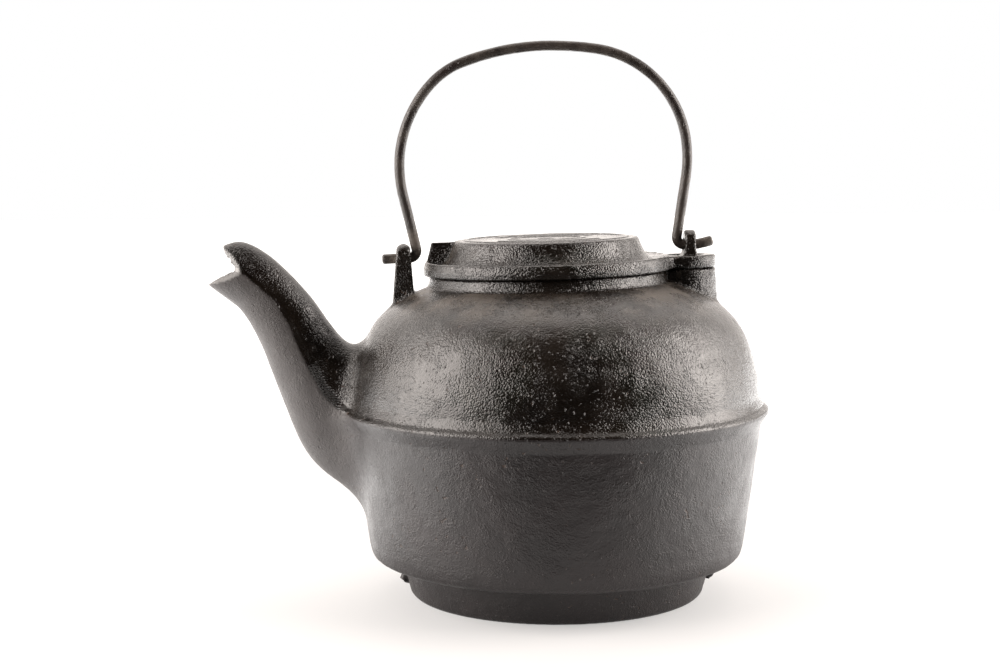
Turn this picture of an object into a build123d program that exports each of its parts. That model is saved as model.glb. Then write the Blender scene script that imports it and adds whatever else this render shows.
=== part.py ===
"""Cast-iron stove kettle: a one-piece cast body, a swivelling cast lid and a bent-rod bail.

Units are millimetres.  The origin is the centre of the foot's flat underside.  +Z is up and the
spout points along -X.  XZ is the plane of symmetry.
"""
import os
from math import cos, radians, sin

from build123d import *

# ---- foot, shoulder, wall and parting ridge ------------------------------------------------
FOOT_BOTTOM_R = 86.5
FOOT_TOP_R = 92.0
FOOT_H = 21.2
FOOT_CHAMFER = 1.5
SHOULDER_R = 102.3
WALL_BOTTOM_R = 110.5
WALL_BOTTOM_Z = 30.8
WALL_TOP_R = 119.6
WALL_TOP_Z = 99.5
SHOULDER_ARC_R = 9.2
RIDGE_R = 124.4
RIDGE_Z = 108.0
RIDGE_TOP_R = 119.75
RIDGE_TOP_Z = 117.2
SHELL_T = 3.2
FLOOR_T = 4.5

# ---- dome: tangent arcs from the ridge to the neck, each (radius, turn in degrees) ----------
DOME_LEAN = 4.8
DOME_ARCS = ((109.6, 17.6), (46.6, 36.1), (105.0, 19.6))

# ---- neck: its rim leans, the rear side higher ---------------------------------------------
NECK_X = -4.7
RIM_Z = 189.0
RIM_TILT = 1.25
NECK_R = 68.4
NECK_BORE_R = 62.5
NECK_DEPTH = 14.0

# ---- spout stations: (top x, z), (bottom x, z), half width --------------------------------
SPOUT_STATIONS = (
    ((-96.0, 142.0), (-96.0, 52.0), 26.0),
    ((-119.0, 147.0), (-121.0, 61.5), 23.5),
    ((-131.0, 158.5), (-145.5, 82.0), 20.5),
    ((-141.0, 173.0), (-160.9, 117.2), 18.0),
    ((-153.0, 187.3), (-171.9, 147.2), 15.8),
    ((-167.0, 200.6), (-182.6, 167.4), 14.0),
    ((-183.0, 208.6), (-194.6, 177.4), 12.6),
    ((-198.0, 204.4), (-206.5, 186.4), 11.0),
)
SPOUT_WALL = 3.2
MOUTH_NOTCH = ((-194.6, 209.6), (-189.0, 194.6), (-189.2, 191.4), (-203.4, 182.8))
MOUTH_CUT_X = -215.0
MOUTH_CUT_TOP_Z = 214.0
MOUTH_CUT_BOTTOM_Z = 175.0
MOUTH_CUT_HALF_W = 30.0
PASSAGE_FAR_X = -234.0
PASSAGE_NEAR_X = -86.0
PASSAGE_BAND = 300.0

# ---- bail ears and their common axis -------------------------------------------------------
ROD_R = 3.0
EAR_HOLE_R = 3.6
FRONT_EAR_X = -89.4
FRONT_HOLE_Z = 197.7
REAR_EAR_X = 79.1
REAR_HOLE_Z = 204.4
EAR_HALF_W = 7.0
EAR_CROWN = 8.6
FRONT_EAR_TOP_T = 6.2
FRONT_EAR_BASE_T = 13.2
FRONT_EAR_BASE_Z = 166.0
REAR_EAR_T = 5.8
EAR_TAB_T = 30.0
EAR_ROOT = 6.0
EAR_DRILL_HALF = 10.0

# ---- lid pivot behind the neck -------------------------------------------------------------
PIVOT_X = 76.8
PIVOT_R = 10.2
PIVOT_HOLE_R = 10.9
PIVOT_H = 6.4
TONGUE_R = 16.4
BOSS_FOOT_R = 18.6
BOSS_DROP = 30.0
LID_GAP = 0.3
BRIDGE_HALF_W = 14.4
BOSS_BRIDGE_START = 45.0
OVERLAP = 1.0

# ---- lid: heights above the rim plane ------------------------------------------------------
FLANGE_R = 72.2
FLANGE_TOP_R = 70.6
FLANGE_T = 7.4
FLANGE_EDGE_H = 3.3
CROWN_FOOT_R = 61.6
CROWN_FOOT_H = 8.2
CROWN_WAIST_R = 56.4
CROWN_WAIST_H = 13.0
CROWN_R = 53.6
CROWN_H = 19.3
CROWN_EDGE = 0.7
LID_WALL = 4.0
LID_SEAT_R = 57.5
FIN_T = 4.6
FIN_OUTER_R = 71.2
FIN_TOP_R = 67.2
FIN_INNER_R = 50.0
FIN_BASE_H = 4.4
FIN_TOP_H = 18.9

# ---- bail: arcs from the apex down each leg, (radius, turn in degrees) ---------------------
BAIL_APEX = (-2.0, 320.1)
BAIL_FRONT_ARCS = ((145.0, 21.0), (45.6, 24.0), (70.0, 58.3))
BAIL_REAR_ARCS = ((186.0, 8.0), (62.3, 74.2), (77.0, 16.4))
HOOK_BEND_R = 4.3
FRONT_HOOK_END_X = -101.0
REAR_HOOK_END_X = 92.6
HOOK_CHAMFER = 0.8

AXIS_SLOPE = (REAR_HOLE_Z - FRONT_HOLE_Z) / (REAR_EAR_X - FRONT_EAR_X)


def axis_z(x):
    """Height of the bail's swing axis at x."""
    return FRONT_HOLE_Z + AXIS_SLOPE * (x - FRONT_EAR_X)


def rim_plane(distance=0.0, height=0.0):
    """A frame parallel to the leaning rim, moved back along it and up from it."""
    tilt = radians(RIM_TILT)
    x_dir = Vector(cos(tilt), 0, sin(tilt))
    z_dir = Vector(-sin(tilt), 0, cos(tilt))
    origin = Vector(NECK_X, 0, RIM_Z) + x_dir * distance + z_dir * height
    return Plane(origin=origin, x_dir=x_dir, z_dir=z_dir)


PIVOT_DISTANCE = (PIVOT_X - NECK_X) / cos(radians(RIM_TILT))


def arc_chain(start, heading, arcs, turn_sign, offset=0.0):
    """Tangent arcs one after another, each radius reduced by offset."""
    edges = []
    point = Vector(*start)
    direction = heading
    for radius, turn in arcs:
        arc = JernArc(start=point, tangent=direction, radius=radius - offset, arc_size=turn_sign * turn)
        edges.append(arc.edge())
        point = arc @ 1
        direction = arc % 1
    return edges, point, direction


def polyline(*points):
    """Straight edges through the points."""
    return [Line(a, b).edge() for a, b in zip(points, points[1:])]


def revolved(edges):
    """Turn a closed (r, z) outline round the Z axis."""
    return revolve(Plane.XZ * make_face(edges), axis=Axis.Z)


def dome_chain(offset):
    """The dome's outline from the ridge up to the neck, moved inwards by offset."""
    lean = radians(DOME_LEAN)
    start = (RIDGE_TOP_R - offset * cos(lean), RIDGE_TOP_Z - offset * sin(lean))
    return arc_chain(start, Vector(-sin(lean), cos(lean)), DOME_ARCS, 1, offset)


def outer_casting():
    """Foot, shoulder, wall, ridge and dome as one turned solid."""
    dome, top, _ = dome_chain(0.0)
    shoulder = RadiusArc((SHOULDER_R, FOOT_H), (WALL_BOTTOM_R, WALL_BOTTOM_Z), -SHOULDER_ARC_R)
    below = polyline(
        (0, 0),
        (FOOT_BOTTOM_R - FOOT_CHAMFER, 0),
        (FOOT_BOTTOM_R, FOOT_CHAMFER),
        (FOOT_TOP_R, FOOT_H),
        (SHOULDER_R, FOOT_H),
    )
    wall = polyline((WALL_BOTTOM_R, WALL_BOTTOM_Z), (WALL_TOP_R, WALL_TOP_Z))
    ridge = ThreePointArc((WALL_TOP_R, WALL_TOP_Z), (RIDGE_R, RIDGE_Z), (RIDGE_TOP_R, RIDGE_TOP_Z))
    roof = polyline((top.X, top.Y), (0, top.Y), (0, 0))
    return revolved(below + [shoulder.edge()] + wall + [ridge.edge()] + dome + roof)


def cavity():
    """The water space inside the casting, down into the foot."""
    dome, top, _ = dome_chain(SHELL_T)
    dome_start = dome[0] @ 0
    floor = polyline(
        (0, FLOOR_T),
        (FOOT_BOTTOM_R - SHELL_T, FLOOR_T),
        (FOOT_TOP_R - SHELL_T, FOOT_H + SHELL_T),
        (SHOULDER_R - SHELL_T, FOOT_H + SHELL_T),
        (WALL_BOTTOM_R - SHELL_T, WALL_BOTTOM_Z + SHELL_T),
        (WALL_TOP_R - SHELL_T, WALL_TOP_Z),
        (dome_start.X, dome_start.Y),
    )
    roof = polyline((top.X, top.Y), (0, top.Y), (0, FLOOR_T))
    return revolved(floor + dome + roof)


def spout_section(station, inset):
    """One oval section of the spout, its wall thickness taken off by inset."""
    (top_x, top_z), (bottom_x, bottom_z), half_width = station
    top = Vector(top_x, 0, top_z)
    bottom = Vector(bottom_x, 0, bottom_z)
    up = (top - bottom).normalized()
    section = Plane(origin=(top + bottom) * 0.5, x_dir=up, z_dir=up.cross(Vector(0, 1, 0)))
    return section * Ellipse((top - bottom).length / 2 - inset, half_width - inset)


def spout_loft(inset):
    """The spout as a smooth loft through its stations."""
    return loft([spout_section(station, inset) for station in SPOUT_STATIONS])


def mouth_cutter():
    """Wedge that leaves a pouring lip above and below a side notch."""
    far_top = (MOUTH_CUT_X, MOUTH_CUT_TOP_Z)
    far_bottom = (MOUTH_CUT_X, MOUTH_CUT_BOTTOM_Z)
    outline = polyline(*MOUTH_NOTCH, far_bottom, far_top, MOUTH_NOTCH[0])
    return extrude(Plane.XZ * make_face(outline), amount=MOUTH_CUT_HALF_W, both=True)


def spout_passage():
    """Inside of the spout, stopped just inside the wall of the water space."""
    length = PASSAGE_NEAR_X - PASSAGE_FAR_X
    band = Pos(PASSAGE_FAR_X + length / 2, 0, 0) * Box(length, PASSAGE_BAND, 2 * PASSAGE_BAND)
    return spout_loft(SPOUT_WALL) & band


def ear_tab(x, hole_z, base_z):
    """Round-topped tab as wide as an ear and thicker than any of them."""
    height = hole_z - base_z
    width = 2 * EAR_HALF_W
    tab = Pos(x, 0, hole_z - height / 2) * Box(EAR_TAB_T, width, height)
    crown = Pos(x, 0, hole_z) * Rot(0, 90, 0) * Cylinder(EAR_CROWN, EAR_TAB_T)
    crown = crown & Pos(x, 0, hole_z + EAR_CROWN / 2) * Box(EAR_TAB_T, width, EAR_CROWN)
    return tab + crown


def front_ear():
    """Tapered upright ear in front of the neck, rounded over the hole."""
    top_z = FRONT_HOLE_Z + EAR_CROWN
    half_top = FRONT_EAR_TOP_T / 2
    half_base = FRONT_EAR_BASE_T / 2
    outline = polyline(
        (FRONT_EAR_X - half_base, FRONT_EAR_BASE_Z),
        (FRONT_EAR_X + half_base, FRONT_EAR_BASE_Z),
        (FRONT_EAR_X + half_top, top_z),
        (FRONT_EAR_X - half_top, top_z),
        (FRONT_EAR_X - half_base, FRONT_EAR_BASE_Z),
    )
    wedge = extrude(Plane.XZ * make_face(outline), amount=EAR_HALF_W, both=True)
    return wedge & ear_tab(FRONT_EAR_X, FRONT_HOLE_Z, FRONT_EAR_BASE_Z)


def rear_ear():
    """Upright ear that stands on the lid pivot."""
    base_z = RIM_Z - EAR_ROOT
    top_z = REAR_HOLE_Z + EAR_CROWN
    slab = Pos(REAR_EAR_X, 0, (base_z + top_z) / 2) * Box(REAR_EAR_T, 2 * EAR_HALF_W, top_z - base_z)
    return slab & ear_tab(REAR_EAR_X, REAR_HOLE_Z, base_z)


def pivot_boss():
    """Boss behind the neck with the round lid pivot on top."""
    boss = rim_plane(PIVOT_DISTANCE, -BOSS_DROP / 2) * Cone(BOSS_FOOT_R, TONGUE_R, BOSS_DROP)
    length = PIVOT_DISTANCE - BOSS_BRIDGE_START
    web = extrude(Rectangle(length, 2 * BRIDGE_HALF_W), amount=BOSS_DROP)
    bridge = rim_plane(PIVOT_DISTANCE - length / 2, -BOSS_DROP) * web
    pivot = rim_plane(PIVOT_DISTANCE, -OVERLAP) * extrude(Circle(PIVOT_R), amount=PIVOT_H + OVERLAP)
    return boss + bridge + pivot


def ear_drills():
    """One drill through each ear, both along the bail's swing axis."""
    along = Vector(1, 0, AXIS_SLOPE).normalized()
    drills = []
    for x in (FRONT_EAR_X, REAR_EAR_X):
        start = Vector(x, 0, axis_z(x)) - along * EAR_DRILL_HALF
        drill = extrude(Circle(EAR_HOLE_R), amount=2 * EAR_DRILL_HALF)
        drills.append(Plane(origin=start, z_dir=along) * drill)
    return drills


def kettle_body():
    """The whole body casting."""
    neck = rim_plane(0, -NECK_DEPTH) * extrude(Circle(NECK_R), amount=NECK_DEPTH)
    body = outer_casting() + neck + spout_loft(0.0) + front_ear() + pivot_boss() + rear_ear()
    bore = rim_plane(0, -2 * NECK_DEPTH) * extrude(Circle(NECK_BORE_R), amount=2 * NECK_DEPTH + OVERLAP)
    body = body - cavity() - bore - spout_passage() - mouth_cutter()
    for drill in ear_drills():
        body = body - drill
    return body


def lid_disc():
    """Flange and concave-sided crown as one turned solid."""
    outline = polyline(
        (0, 0),
        (FLANGE_R, 0),
        (FLANGE_R, FLANGE_EDGE_H),
        (FLANGE_TOP_R, FLANGE_T),
        (CROWN_FOOT_R, CROWN_FOOT_H),
        (CROWN_WAIST_R, CROWN_WAIST_H),
        (CROWN_R, CROWN_H - CROWN_EDGE),
        (CROWN_R - CROWN_EDGE, CROWN_H),
        (0, CROWN_H),
        (0, 0),
    )
    return revolved(outline)


def lid_hollow():
    """Space under the crown."""
    outline = polyline(
        (0, 0),
        (LID_SEAT_R, 0),
        (CROWN_R - LID_WALL, CROWN_H - LID_WALL),
        (0, CROWN_H - LID_WALL),
        (0, 0),
    )
    return revolved(outline)


def lid_tongue():
    """Round-ended tongue that reaches back over the pivot."""
    length = PIVOT_DISTANCE - CROWN_FOOT_R
    end = Pos(PIVOT_DISTANCE, 0, 0) * extrude(Circle(TONGUE_R), amount=FLANGE_T)
    bridge = Pos(CROWN_FOOT_R + length / 2, 0, FLANGE_T / 2) * Box(length, 2 * BRIDGE_HALF_W, FLANGE_T)
    return end + bridge


def lid_fin():
    """Upright thumb fin at the front of the flange."""
    outline = polyline(
        (-FIN_INNER_R, FIN_BASE_H),
        (-FIN_INNER_R, FIN_TOP_H),
        (-FIN_TOP_R, FIN_TOP_H),
        (-FIN_OUTER_R, FIN_BASE_H),
        (-FIN_INNER_R, FIN_BASE_H),
    )
    return extrude(Plane.XZ * make_face(outline), amount=FIN_T / 2, both=True)


def lid():
    """Flange, hollow crown, thumb fin and pierced tongue."""
    hole = Pos(PIVOT_DISTANCE, 0, -OVERLAP) * extrude(Circle(PIVOT_HOLE_R), amount=FLANGE_T + 2 * OVERLAP)
    shape = lid_disc() + lid_tongue() + lid_fin() - lid_hollow() - hole
    return rim_plane(0, LID_GAP) * shape


def bail_leg(arcs, turn_sign, end_x):
    """Edges from the apex down one leg and out along its hook."""
    heading = Vector(-turn_sign, 0)
    edges, foot, direction = arc_chain(BAIL_APEX, heading, arcs, turn_sign)
    run = (axis_z(foot.X) - foot.Y) / (direction.Y - AXIS_SLOPE * direction.X)
    corner = foot + direction * run
    hook = FilletPolyline(foot, corner, (end_x, axis_z(end_x)), radius=HOOK_BEND_R)
    return edges + hook.edges()


def bail():
    """Round rod bent to an arch with a hook through each ear."""
    edges = bail_leg(BAIL_FRONT_ARCS, 1, FRONT_HOOK_END_X) + bail_leg(BAIL_REAR_ARCS, -1, REAR_HOOK_END_X)
    path = Plane.XZ * Wire(edges)
    rod = sweep(Plane(origin=path @ 0, z_dir=path % 0) * Circle(ROD_R), path=path)
    ends = [rod.faces().sort_by(Axis.X)[0], rod.faces().sort_by(Axis.X)[-1]]
    return chamfer([end.edges()[0] for end in ends], HOOK_CHAMFER)


def main():
    os.makedirs("parts", exist_ok=True)
    nodes = {"kettle_body": kettle_body(), "lid": lid(), "bail": bail()}
    for name, shape in nodes.items():
        export_step(shape, f"parts/{name}.step")


main()
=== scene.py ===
"""Looks for the cast-iron kettle: rough-cast body, lid and bent-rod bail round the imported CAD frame.

Shapes are distance fields in millimetres, turned into quad meshes and then roughened as sand
castings are.  +Z is up, the spout points along -X and the photograph was taken from -Y.
"""
from math import cos, degrees, hypot, pi, radians, sin, tan

import bpy
import numpy as np
from mathutils import Matrix, Vector


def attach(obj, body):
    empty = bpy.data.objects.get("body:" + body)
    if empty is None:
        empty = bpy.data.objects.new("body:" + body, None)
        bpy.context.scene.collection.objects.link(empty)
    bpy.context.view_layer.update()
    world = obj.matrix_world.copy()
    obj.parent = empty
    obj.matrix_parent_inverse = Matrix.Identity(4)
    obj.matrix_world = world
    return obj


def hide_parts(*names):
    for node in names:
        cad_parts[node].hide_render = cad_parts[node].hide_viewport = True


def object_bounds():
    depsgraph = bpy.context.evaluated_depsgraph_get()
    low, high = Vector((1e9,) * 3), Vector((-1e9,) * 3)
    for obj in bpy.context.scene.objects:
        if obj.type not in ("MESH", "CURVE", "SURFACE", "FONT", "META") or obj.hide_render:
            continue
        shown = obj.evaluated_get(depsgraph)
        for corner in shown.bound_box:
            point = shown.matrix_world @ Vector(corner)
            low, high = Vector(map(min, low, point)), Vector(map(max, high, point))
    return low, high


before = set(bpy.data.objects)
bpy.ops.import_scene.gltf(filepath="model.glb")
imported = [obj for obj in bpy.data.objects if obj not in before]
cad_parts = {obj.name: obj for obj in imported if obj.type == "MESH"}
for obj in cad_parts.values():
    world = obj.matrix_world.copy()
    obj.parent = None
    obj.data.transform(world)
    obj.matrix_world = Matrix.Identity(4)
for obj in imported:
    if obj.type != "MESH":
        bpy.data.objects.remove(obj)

CAD_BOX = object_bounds()
MM = 0.001
FAR = 30.0          # a field's value where a shape is left out

# ---- body profile, as (radius, height) ------------------------------------------------------
FOOT = ((-20.0, 0.0), (84.8, 0.0), (86.6, 1.8), (92.0, 21.2), (102.3, 21.2))
SHOULDER_MID = (108.3, 24.4)
WALL_BOTTOM = (110.5, 30.8)
WALL_TOP = (119.9, 101.0)
RIDGE_LOW = (122.3, 104.8)
RIDGE_EDGE = (124.6, 108.5)
RIDGE_TOP = (124.2, 110.3)
RIDGE_HIGH = (121.7, 112.2)
DOME_START = (119.75, 117.2)
DOME_LEAN = 4.8     # degrees off upright where it starts
DOME_ARCS = ((109.6, 17.6), (46.6, 36.1), (105.0, 19.6))   # (radius, degrees), from the ridge up
SHELL = 3.2
FLOOR_Z = 4.5
SEAM_Z = 109.2

# ---- neck, in the frame of the rim, which rises towards the rear ----------------------------
NECK_X = -4.7
RIM_Z = 189.0
RIM_TILT = radians(1.25)
NECK_R = 69.0
NECK_DRAFT = 0.15
NECK_DRAFT_FROM = -20.0
NECK_FOOT = -45.0
NECK_BORE_R = 62.5
NECK_BORE_DEPTH = 28.0

# ---- spout stations: (top x, z), (bottom x, z), half width ----------------------------------
SPOUT = (
    ((-96.0, 142.0), (-96.0, 52.0), 26.0),
    ((-119.0, 147.0), (-121.0, 61.5), 23.5),
    ((-131.0, 158.5), (-145.5, 82.0), 20.5),
    ((-141.0, 173.0), (-160.9, 117.2), 18.0),
    ((-153.0, 187.3), (-171.9, 147.2), 15.8),
    ((-167.0, 200.6), (-182.6, 167.4), 14.0),
    ((-183.0, 208.6), (-194.6, 177.4), 12.6),
    ((-198.0, 204.4), (-206.5, 186.4), 11.0),
)
SPOUT_WALL = 3.6
SPOUT_END_X = -89.0
PASSAGE_END_X = -92.0
SPOUT_REACH = 40.0  # its field is held within this
SPOUT_BLUR = 40
SEAM = ((-215.0, 199.0), (-189.0, 193.0), (-179.7, 189.6), (-170.2, 180.9), (-162.8, 174.0),
        (-154.5, 160.4), (-149.0, 146.8), (-143.0, 134.1), (-135.0, 120.0), (-127.6, 112.6),
        (-119.0, SEAM_Z), (130.0, SEAM_Z))
LEDGE = (1.1, 1.9)          # how far the upper half is set in, at each height of LEDGE_RUN_Z
LEDGE_RUN = (1.6, 5.0)      # the distance over which it gets there
LEDGE_RUN_Z = (192.0, 140.0)
MOUTH_BEVEL = 1.15          # cut back per mm beyond MOUTH_BEVEL_Y from the middle
MOUTH_BEVEL_Y = 6.8
MOUTH = ((-194.6, 209.6), (-189.0, 194.6), (-189.2, 191.4), (-203.4, 182.8), (-225.0, 170.0),
         (-225.0, 216.0))
MOUTH_SIDE_X = -172.0

# ---- gate scars on the foot: (middle), (half sizes) ------------------------------------------
SCARS = (((-89.6, -3.0, 12.0), (2.6, 4.0, 6.8)), ((89.8, -10.0, 13.0), (2.4, 4.0, 5.6)))
SCAR_TOP_Z = 24.0

# ---- ears, lid pivot and bail ---------------------------------------------------------------
FRONT_EAR_X = -89.4
FRONT_HOLE_Z = 197.7
REAR_EAR_X = 79.1
REAR_HOLE_Z = 204.4
AXIS_SLOPE = (REAR_HOLE_Z - FRONT_HOLE_Z) / (REAR_EAR_X - FRONT_EAR_X)
EAR_HOLE_R = 3.6
EAR_HALF_W = 7.0
EAR_CROWN = 8.6
EAR_HOLE_REACH = 9.0
FRONT_EAR_SHIFT = 0.7
FRONT_EAR_HALF_T = 3.6
FRONT_EAR_TOP_Z = 206.3
FRONT_EAR_TAPER = 0.0868
FRONT_EAR_EASE = (1.2, 3.4)     # rounding of its edges, and what is added towards its top
FRONT_EAR_EASE_Z = (201.0, 206.0)
FRONT_EAR_FOOT_Z = 150.0
REAR_EAR_HALF_T = 3.3
REAR_EAR_FLARE = 2.2
REAR_EAR_FLARE_Z = 197.2
REAR_EAR_FOOT_Z = 170.0
PIVOT_X = 76.8
PIVOT_D = (PIVOT_X - NECK_X) / cos(RIM_TILT)
PIVOT_R = 10.2
PIVOT_H = 6.4
PIVOT_HOLE_R = 10.9
TONGUE_R = 17.6
TONGUE_EASE = 1.8
BRIDGE_HALF_W = 14.4
BOSS_INSET = 0.2
BOSS_TAPER = 0.035
BOSS_TAPER_END = 26.0
BOSS_SKIRT = 0.9
BOSS_SKIRT_RUN = (20.0, 28.0)
BOSS_DEPTH = 50.0
WEB_INSET = 3.0
WEB_START = 45.0

# ---- lid outlines, as (radius, height above the rim) ----------------------------------------
LID_GAP = 0.3
FLANGE_T = 7.4
CROWN_H = 19.3
LID_OUTLINE = ((-20.0, 0.0), (72.4, 0.0), (72.4, 3.3), (71.4, 7.0), (70.6, 7.9), (69.4, 7.8), (66.8, 6.3),
               (64.0, 5.7), (61.6, 6.1), (59.6, 7.3), (57.9, 9.4), (56.4, 12.2), (55.0, 15.4), (53.8, 18.4),
               (52.9, CROWN_H), (-20.0, CROWN_H))
LID_HOLLOW = ((-20.0, -2.0), (57.5, -2.0), (57.5, 0.0), (49.6, 15.3), (-20.0, 15.3))
FIN_OUTLINE = ((-50.0, 4.4), (-50.0, 18.9), (-67.2, 18.9), (-71.2, 4.4))
FIN_HALF_T = 2.3
FIN_END = -45.0
TONGUE_SPAN = (50.0, 58.0)   # where its bridge and its plan start, along from the neck's middle
TONGUE_JOIN_R = 71.4
RING_CREST = ((47.0, 1.0, 0.6), (22.0, 1.0, 0.6), (0.0, 5.0, -0.5))  # radius, half width, height
ARC_CREST = (35.0, 2.2, 0.7)
ARC_SPAN = (54.0, 50.0)      # degrees either side of the middle: where they end, where they are full

# ---- bail: the arcs are (radius, degrees) from the apex down each leg ------------------------
ROD_R = 3.0
ROD_END_ROUND = 1.1
BAIL_APEX = (-2.0, 320.1)
BAIL_FRONT_ARCS = ((145.0, 21.0), (45.6, 24.0), (70.0, 58.3))
BAIL_REAR_ARCS = ((186.0, 8.0), (62.3, 74.2), (77.0, 16.4))
HOOK_BEND_R = 4.3
FRONT_HOOK_END_X = -101.0
REAR_HOOK_END_X = 92.6
REAR_HOOK_RISE = tan(radians(13))
HOOK_RISE_FROM = 83.0
HOOK_RISE_EASE = 2.5
CAP_SHARES = (0.7, 0.4, 0.12)


# ============================ numbers and fields =============================================

def blend_min(a, b, k):
    """The lower of two fields with their crease filled over k."""
    h = np.clip(0.5 + 0.5 * (b - a) / k, 0.0, 1.0)
    return b + (a - b) * h - k * h * (1.0 - h)


def blend_max(a, b, k):
    """The higher of two fields with their edge eased over k."""
    return -blend_min(-a, -b, k)


def ramp(x, low, high):
    """0 below low, 1 above high, smooth between."""
    t = np.clip((x - low) / (high - low), 0.0, 1.0)
    return t * t * (3.0 - 2.0 * t)


LATTICE = np.random.default_rng(7).uniform(-1.0, 1.0, 65536).astype(np.float32)


def noise(points, size, seed=0):
    """Smooth lattice noise from -1 to 1 with lumps about size across."""
    q = points / size + 31.7 * (seed + 1)
    base = np.floor(q).astype(np.int64)
    f = q - base
    f = f * f * (3.0 - 2.0 * f)
    total = np.zeros(len(q))
    for corner in range(8):
        step = np.array([corner & 1, corner >> 1 & 1, corner >> 2 & 1])
        c = base + step
        key = (c[:, 0] * 73856093 ^ c[:, 1] * 19349663 ^ c[:, 2] * 83492791 ^ seed * 2654435761) & 65535
        weight = np.prod(np.where(step, f, 1.0 - f), axis=1)
        total += weight * LATTICE[key]
    return total


def bilinear(table, low, step, a, b):
    """Read a table made on a regular grid at (a, b)."""
    u = np.clip((a - low[0]) / step, 0.0, table.shape[0] - 1.001)
    v = np.clip((b - low[1]) / step, 0.0, table.shape[1] - 1.001)
    i = u.astype(np.int64)
    j = v.astype(np.int64)
    u = u - i
    v = v - j
    return ((table[i, j] * (1 - u) + table[i + 1, j] * u) * (1 - v)
            + (table[i, j + 1] * (1 - u) + table[i + 1, j + 1] * u) * v)


def softened(table, rounds):
    """A table blurred a little in both directions, so many times."""
    for _ in range(rounds):
        wide = np.pad(table, 1, mode="edge")
        beside = wide[:-2, 1:-1] + wide[2:, 1:-1] + wide[1:-1, :-2] + wide[1:-1, 2:]
        table = (4.0 * wide[1:-1, 1:-1] + 2.0 * beside
                 + wide[:-2, :-2] + wide[:-2, 2:] + wide[2:, :-2] + wide[2:, 2:]) / 16.0
    return table


def outline_field(outline, low, high, step=0.5, ease=1):
    """A function of (a, b) giving the signed distance to a closed outline, corners eased."""
    a = np.arange(low[0], high[0] + step, step)[:, None]
    b = np.arange(low[1], high[1] + step, step)[None, :]
    best = np.full((a.shape[0], b.shape[1]), 1e9)
    inside = np.zeros(best.shape, bool)
    points = [np.array(p, float) for p in outline]
    for p, q in zip(points, points[1:] + points[:1]):
        run = q - p
        length2 = run @ run
        if length2 < 1e-12:
            continue
        t = np.clip(((a - p[0]) * run[0] + (b - p[1]) * run[1]) / length2, 0.0, 1.0)
        best = np.minimum(best, (a - p[0] - t * run[0]) ** 2 + (b - p[1] - t * run[1]) ** 2)
        if run[1]:
            crosses = (p[1] > b) != (q[1] > b)
            inside ^= crosses & (a < p[0] + run[0] * (b - p[1]) / run[1])
    table = np.sqrt(best) * np.where(inside, -1.0, 1.0)
    table = softened(table, ease)
    return lambda u, v: bilinear(table, low, step, u, v)


def arc_points(start, heading, arcs, turn=1, offset=0.0, step=1.5):
    """Points along tangent arcs; returns them and the last heading."""
    points = [np.array(start, float)]
    for radius, sweep in arcs:
        r = radius - offset
        centre = points[-1] + turn * r * np.array([-sin(heading), cos(heading)])
        count = max(2, int(r * radians(sweep) / step))
        first = heading
        for k in range(1, count + 1):
            heading = first + turn * radians(sweep) * k / count
            points.append(centre + turn * r * np.array([sin(heading), -cos(heading)]))
    return points, heading


def smooth_curve(points, each=8):
    """Catmull-Rom points through the given ones."""
    p = np.array(points, float)
    p = np.vstack([2 * p[0] - p[1], p, 2 * p[-1] - p[-2]])
    out = []
    for k in range(1, len(p) - 2):
        for t in np.arange(each) / each:
            out.append(0.5 * (2 * p[k] + (p[k + 1] - p[k - 1]) * t
                              + (2 * p[k - 1] - 5 * p[k] + 4 * p[k + 1] - p[k + 2]) * t * t
                              + (3 * p[k] - p[k - 1] - 3 * p[k + 1] + p[k + 2]) * t ** 3))
    out.append(p[-2])
    return np.array(out)


def dome_points(offset):
    """The dome's outline up to the neck, moved inwards by offset."""
    lean = radians(DOME_LEAN)
    start = (DOME_START[0] - offset * cos(lean), DOME_START[1] - offset * sin(lean))
    return arc_points(start, pi / 2 + lean, DOME_ARCS, 1, offset)[0]


def body_outline():
    """The turned outline of foot, shoulder, wall, ridge and dome."""
    shoulder = smooth_curve([FOOT[-1], SHOULDER_MID, WALL_BOTTOM], 6)
    ridge = list(smooth_curve([WALL_TOP, RIDGE_LOW, RIDGE_EDGE], 6)) + [RIDGE_TOP, RIDGE_HIGH, DOME_START]
    dome = dome_points(0.0)
    return list(FOOT) + list(shoulder) + list(ridge) + dome + [(-20.0, dome[-1][1])]


def cavity_outline():
    """The outline of the water space."""
    dome = dome_points(SHELL)
    low = [(-20.0, FLOOR_Z), (FOOT[1][0] - SHELL, FLOOR_Z), (FOOT[3][0] - SHELL, FOOT[3][1] + SHELL),
           (FOOT[4][0] - SHELL, FOOT[4][1] + SHELL), (WALL_BOTTOM[0] - SHELL, WALL_BOTTOM[1] + SHELL),
           (WALL_TOP[0] - SHELL, WALL_TOP[1])]
    return low + dome + [(-20.0, dome[-1][1])]


BODY_AREA = ((-2.0, -6.0), (140.0, 200.0), 0.5)     # low corner, high corner and step of a table
LID_AREA = ((-2.0, -6.0), (84.0, 28.0), 0.25)
BODY_PROFILE = outline_field(body_outline(), *BODY_AREA, ease=1)
CAVITY_PROFILE = outline_field(cavity_outline(), *BODY_AREA, ease=2)
LID_PROFILE = outline_field(LID_OUTLINE, *LID_AREA, ease=2)
HOLLOW_PROFILE = outline_field(LID_HOLLOW, *LID_AREA, ease=6)
FIN_PROFILE = outline_field(FIN_OUTLINE, (-80.0, -4.0), (-40.0, 26.0), 0.25, ease=4)
MOUTH_PROFILE = outline_field(MOUTH, (-220.0, 160.0), (-170.0, 220.0), 0.25, ease=3)


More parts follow.
